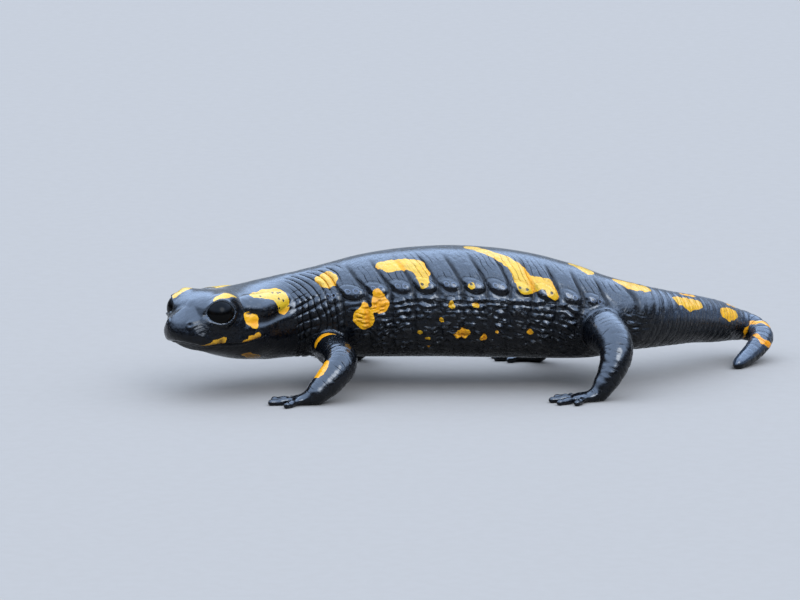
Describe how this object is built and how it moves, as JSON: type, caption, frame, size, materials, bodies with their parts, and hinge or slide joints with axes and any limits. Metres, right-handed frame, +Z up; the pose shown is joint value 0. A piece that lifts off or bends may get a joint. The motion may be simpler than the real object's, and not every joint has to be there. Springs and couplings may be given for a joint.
{
  "type": "fire salamander model",
  "caption": "Still, life-size model of a walking fire salamander, glossy black with yellow and orange patches, its head turned to its left and its tail tip curled round.",
  "frame": {"origin": "on the floor, under the middle of the model's box", "axes": "+Z up; the animal walks towards -X, and its left side faces -Y"},
  "size_m": [0.1292, 0.063, 0.0288],
  "materials": {
    "skin_black": "wet glossy black skin",
    "skin_yellow": "wet glossy yellow skin",
    "eye": "high gloss, black"
  },
  "bodies": {
    "root": {"head": "skin_black", "lower_jaw": "skin_black", "neck": "skin_black", "trunk_front": "skin_black", "trunk_middle": "skin_black", "trunk_rear": "skin_black", "tail_base": "skin_black", "tail_middle": "skin_black", "tail_bend": "skin_black", "tail_tip": "skin_black", "left_upper_arm": "skin_black", "left_forearm": "skin_black", "left_hand": "skin_black", "left_thigh": "skin_black", "left_shin": "skin_black", "left_foot": "skin_black", "right_upper_arm": "skin_black", "right_forearm": "skin_black", "right_hand": "skin_black", "right_thigh": "skin_black", "right_shin": "skin_black", "right_foot": "skin_black", "parotoid_left": "skin_yellow", "parotoid_right": "skin_yellow", "eye_left": "eye", "eye_right": "eye"}
  },
  "joints": []
}
